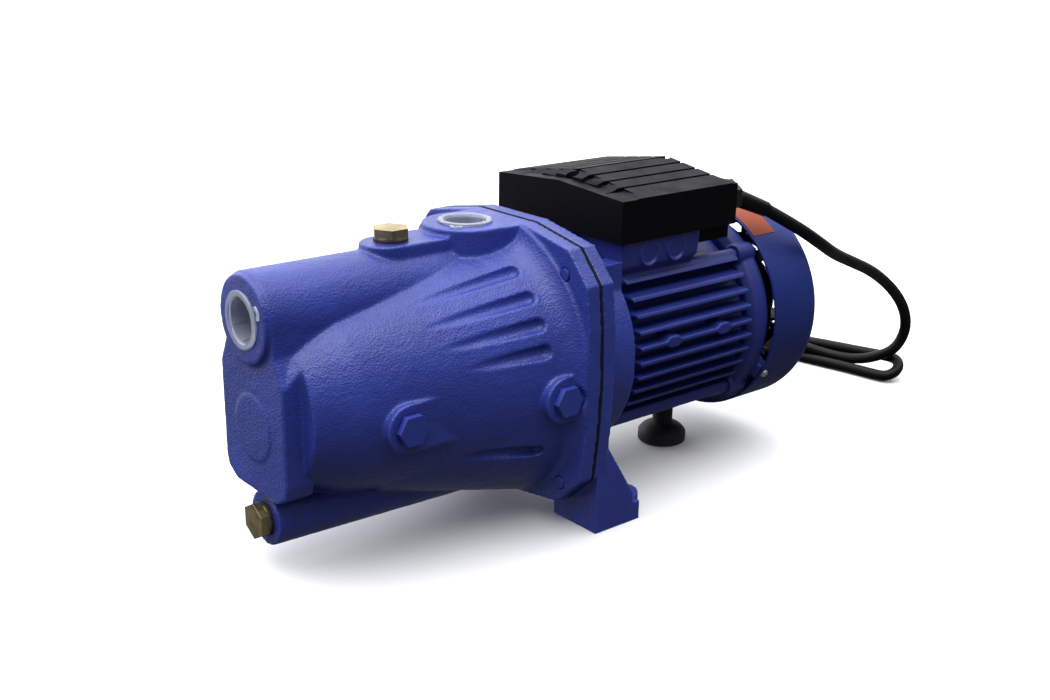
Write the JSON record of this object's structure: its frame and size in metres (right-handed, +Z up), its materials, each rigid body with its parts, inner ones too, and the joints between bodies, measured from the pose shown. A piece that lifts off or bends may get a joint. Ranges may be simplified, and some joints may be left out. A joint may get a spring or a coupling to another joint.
{
  "type": "shallow well jet pump",
  "caption": "Close-coupled shallow well jet pump: cast casing with front suction and top discharge ports, finned motor, ribbed terminal box, fan cover and a mains lead in a hank.",
  "frame": {"origin": "on the floor plane, midway between the two foot bolt holes of the bracket", "axes": "+X along the shaft from the suction port towards the fan cover, +Y across the pump, +Z up"},
  "size_m": [0.6225, 0.2628, 0.2175],
  "materials": {
    "casing_enamel": "blue enamel over sand-cast iron",
    "painted_steel": "blue enamel over steel",
    "motor_enamel": "smooth blue enamel",
    "cowl_enamel": "smooth satin blue enamel",
    "gasket_fibre": "dark fibre sheet",
    "zinc_steel": "zinc plated",
    "bare_steel": "turned",
    "spring_steel": "plain",
    "bearing_steel": "ground and polished",
    "lamination_steel": "stacked sheets",
    "cast_aluminium": "die cast",
    "copper_winding": "varnished copper",
    "brass": "machined",
    "red_fibre": "fibre washer",
    "wet_plastic": "glass filled",
    "black_rubber": "moulded",
    "ceramic_white": "lapped",
    "carbon_graphite": "lapped carbon",
    "fan_plastic": "moulded",
    "box_plastic": "black, fine texture",
    "board_plastic": "moulded",
    "white_plastic": "moulded",
    "gland_plastic": "polyamide",
    "foot_rubber": "moulded",
    "cord_rubber": "smooth sheath",
    "tie_plastic": "nylon",
    "plug_plastic": "moulded black, nickel pins"
  },
  "bodies": {
    "pump": {"box_base_screws": "zinc_steel", "cable_gland_body": "gland_plastic", "cable_gland_locknut": "gland_plastic", "cable_gland_nut": "gland_plastic", "capacitor_strap": "zinc_steel", "casing_gasket": "gasket_fibre", "cord_strain_relief": "cord_rubber", "cord_tie": "tie_plastic", "diffuser": "wet_plastic", "ejector_nozzle": "brass", "fan_cover": "cowl_enamel", "fan_cover_screws": "zinc_steel", "flange_bolts": "painted_steel", "front_bearing_outer_ring": "bearing_steel", "lid_screws": "zinc_steel", "mains_plug": "plug_plastic", "motor_frame": "motor_enamel", "motor_tie_bolts": "zinc_steel", "power_cord": "cord_rubber", "power_cord_hank": "cord_rubber", "power_cord_tail": "cord_rubber", "pump_bracket": "casing_enamel", "pump_casing": "casing_enamel", "rear_bearing_outer_ring": "bearing_steel", "rear_end_shield": "motor_enamel", "rear_foot_pad": "foot_rubber", "rear_foot_stud": "zinc_steel", "run_capacitor": "white_plastic", "seal_seat": "ceramic_white", "side_plugs": "painted_steel", "stator_core": "lamination_steel", "stator_winding": "copper_winding", "terminal_board": "board_plastic", "terminal_box_base": "box_plastic", "terminal_box_lid": "box_plastic", "terminal_screws": "brass", "venturi_seal": "black_rubber", "venturi_tube": "wet_plastic", "wave_washer": "spring_steel"},
    "rotor": {"motor_shaft": "bare_steel", "rotor_core": "lamination_steel", "rotor_end_rings": "cast_aluminium", "impeller": "brass", "impeller_nut": "bare_steel", "seal_head": "carbon_graphite", "seal_spring": "spring_steel", "water_slinger": "black_rubber", "front_bearing_inner_ring": "bearing_steel", "rear_bearing_inner_ring": "bearing_steel", "cooling_fan": "fan_plastic", "fan_clip": "spring_steel"},
    "front_ball_set": {"front_bearing_balls": "bearing_steel", "front_bearing_cage": "bearing_steel"},
    "rear_ball_set": {"rear_bearing_balls": "bearing_steel", "rear_bearing_cage": "bearing_steel"},
    "priming_washer": {"priming_plug_washer": "red_fibre"},
    "priming_plug": {"priming_plug": "brass"},
    "drain_washer": {"drain_plug_washer": "red_fibre"},
    "drain_plug": {"drain_plug": "brass"}
  },
  "joints": [
    {"name": "shaft_spin", "type": "hinge", "parent": "pump", "child": "rotor", "pos_m": [0, 0, 0.104], "axis": [1, 0, 0], "continuous": true},
    {"name": "front_ball_spin", "type": "hinge", "parent": "pump", "child": "front_ball_set", "pos_m": [0, 0, 0.104], "axis": [1, 0, 0], "continuous": true},
    {"name": "rear_ball_spin", "type": "hinge", "parent": "pump", "child": "rear_ball_set", "pos_m": [0, 0, 0.104], "axis": [1, 0, 0], "continuous": true},
    {"name": "priming_plug_lift", "type": "slide", "parent": "pump", "child": "priming_washer", "axis": [0, 0, 1], "range_m": [0, 0.0107]},
    {"name": "priming_plug_turn", "type": "hinge", "parent": "priming_washer", "child": "priming_plug", "pos_m": [-0.134, 0, 0.1905], "axis": [0, 0, 1], "range_deg": [0, 2880]},
    {"name": "drain_plug_slide", "type": "slide", "parent": "pump", "child": "drain_washer", "axis": [-1, 0, 0], "range_m": [0, 0.0107]},
    {"name": "drain_plug_turn", "type": "hinge", "parent": "drain_washer", "child": "drain_plug", "pos_m": [-0.229, 0, 0.034], "axis": [-1, 0, 0], "range_deg": [0, 2880]}
  ],
  "couplings": [
    {"joint": "front_ball_spin", "follows": "shaft_spin", "ratio": 0.3825},
    {"joint": "rear_ball_spin", "follows": "shaft_spin", "ratio": 0.382},
    {"joint": "priming_plug_lift", "follows": "priming_plug_turn", "m_per_rad": 0.00021279},
    {"joint": "drain_plug_slide", "follows": "drain_plug_turn", "m_per_rad": 0.00021279}
  ]
}
